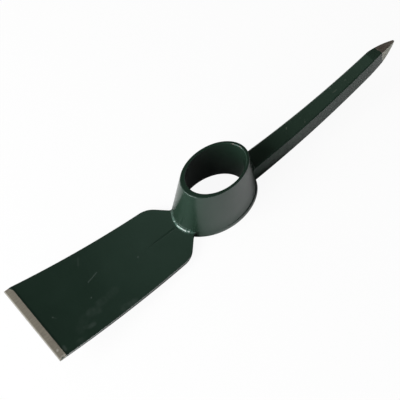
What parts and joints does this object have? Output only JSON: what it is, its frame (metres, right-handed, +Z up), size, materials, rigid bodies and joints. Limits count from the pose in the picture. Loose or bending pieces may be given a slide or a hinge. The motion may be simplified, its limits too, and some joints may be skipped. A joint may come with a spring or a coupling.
{
  "type": "pick mattock head",
  "caption": "Welded steel pick mattock head: a tapered oval eye for a handle, a flared adze blade on one side and a pointed square pick on the other, painted dark green with bare ground ends.",
  "frame": {"origin": "on the eye's axis, in the plane of the eye's wide rim", "axes": "+Z up the eye towards its narrow handle end, +X along the pick, -X along the adze blade"},
  "size_m": [0.451, 0.084, 0.059],
  "materials": {
    "eye_paint": "gloss",
    "blade_paint": "gloss",
    "pick_paint": "gloss",
    "blade_bead_paint": "gloss",
    "pick_bead_paint": "gloss"
  },
  "bodies": {
    "root": {"eye_socket": "eye_paint", "adze_blade": "blade_paint", "pick_arm": "pick_paint", "blade_weld": "blade_bead_paint", "pick_weld": "pick_bead_paint"}
  },
  "joints": []
}
